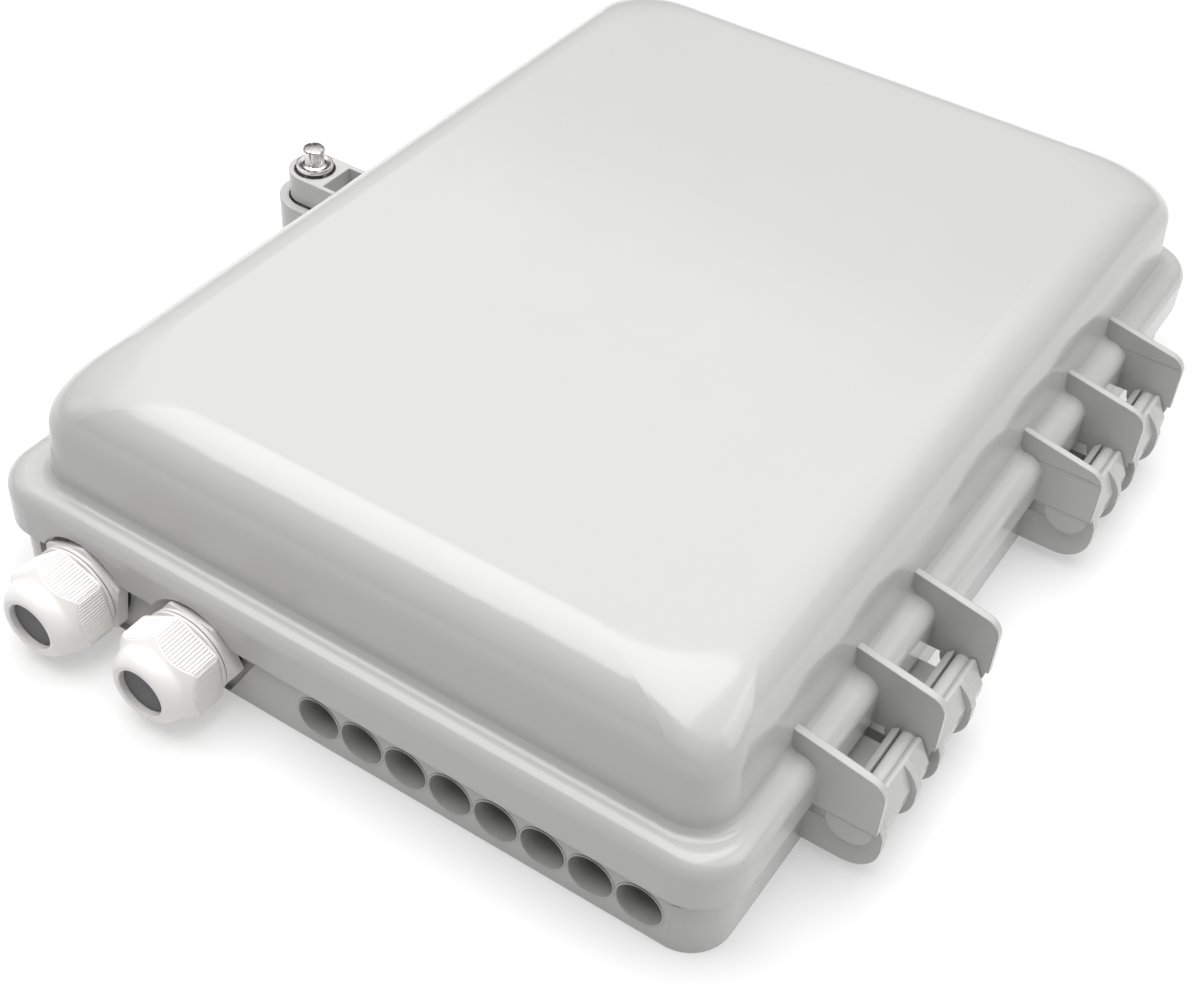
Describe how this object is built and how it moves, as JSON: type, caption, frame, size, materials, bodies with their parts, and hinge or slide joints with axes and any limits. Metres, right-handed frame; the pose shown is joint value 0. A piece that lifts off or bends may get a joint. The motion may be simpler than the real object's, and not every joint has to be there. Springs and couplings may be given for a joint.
{
  "type": "fibre distribution box",
  "caption": "Wall-mount fibre distribution box with a hinged lid, a captive lock screw, ribbed cable glands and a row of drop ports; a splice tray and adapter panel inside.",
  "frame": {"origin": "centre of the back face of the box, which lies on its back", "axes": "+X across the box from the lock to the hinges, +Y from the port side to the far end, +Z out of the wall towards the lid"},
  "size_m": [0.2731, 0.3119, 0.0673],
  "materials": {
    "shell_grey": "glossy light grey",
    "gland_white": "warm white satin",
    "seal_black": "matte",
    "seal_grey": "matte",
    "comb_rubber": "matte",
    "nickel": "bright plating",
    "steel": "brushed",
    "brass": "machined",
    "tray_white": "satin",
    "clear_plastic": "clear",
    "adapter_green": "semi gloss",
    "cap_black": "satin"
  },
  "bodies": {
    "base": {"base_shell": "shell_grey", "lock_insert": "brass", "splice_tray": "tray_white", "tray_screws": "nickel", "splice_comb_1": "comb_rubber", "splice_comb_2": "comb_rubber", "tray_cover": "clear_plastic", "splitter": "steel", "adapter_panel": "tray_white", "adapter_1": "adapter_green", "adapter_2": "adapter_green", "adapter_3": "adapter_green", "adapter_4": "adapter_green", "adapter_5": "adapter_green", "adapter_6": "adapter_green", "adapter_7": "adapter_green", "adapter_8": "adapter_green", "dust_cap_1": "cap_black", "dust_cap_2": "cap_black", "dust_cap_3": "cap_black", "dust_cap_4": "cap_black", "dust_cap_5": "cap_black", "dust_cap_6": "cap_black", "dust_cap_7": "cap_black", "dust_cap_8": "cap_black", "port_seal_1": "seal_grey", "port_seal_2": "seal_grey", "port_seal_3": "seal_grey", "port_seal_4": "seal_grey", "port_seal_5": "seal_grey", "port_seal_6": "seal_grey", "port_seal_7": "seal_grey", "port_seal_8": "seal_grey", "cable_clamp_left": "tray_white", "cable_clamp_right": "tray_white", "clamp_screws": "nickel", "gland_left_gasket": "seal_black", "gland_left_body": "gland_white", "gland_left_seal": "seal_grey", "gland_right_gasket": "seal_black", "gland_right_body": "gland_white", "gland_right_seal": "seal_grey"},
    "lid": {"lid_shell": "shell_grey", "lid_gasket": "seal_black"},
    "lock_collar": {"lock_clip": "nickel"},
    "lock_screw": {"lock_screw": "nickel"},
    "left_cap_nut": {"gland_left_nut": "gland_white"},
    "right_cap_nut": {"gland_right_nut": "gland_white"}
  },
  "joints": [
    {"name": "lid_hinge", "type": "hinge", "parent": "base", "child": "lid", "pos_m": [0.1196, 0, 0.0209], "axis": [0, 1, 0], "range_deg": [0, 120]},
    {"name": "lock_travel", "type": "slide", "parent": "lid", "child": "lock_collar", "axis": [0, 0, 1], "range_m": [-0.006, 0]},
    {"name": "lock_turn", "type": "hinge", "parent": "lock_collar", "child": "lock_screw", "pos_m": [-0.134, 0.014, 0.03], "axis": [0, 0, 1], "range_deg": [-2166, 0]},
    {"name": "left_nut_turn", "type": "hinge", "parent": "base", "child": "left_cap_nut", "pos_m": [-0.078, -0.155, 0.0142], "axis": [0, -1, 0], "range_deg": [-180, 1440]},
    {"name": "right_nut_turn", "type": "hinge", "parent": "base", "child": "right_cap_nut", "pos_m": [-0.041, -0.155, 0.0142], "axis": [0, -1, 0], "range_deg": [-180, 1440]}
  ],
  "couplings": [
    {"joint": "lock_turn", "follows": "lock_travel", "rad_per_m": 6283.2}
  ]
}
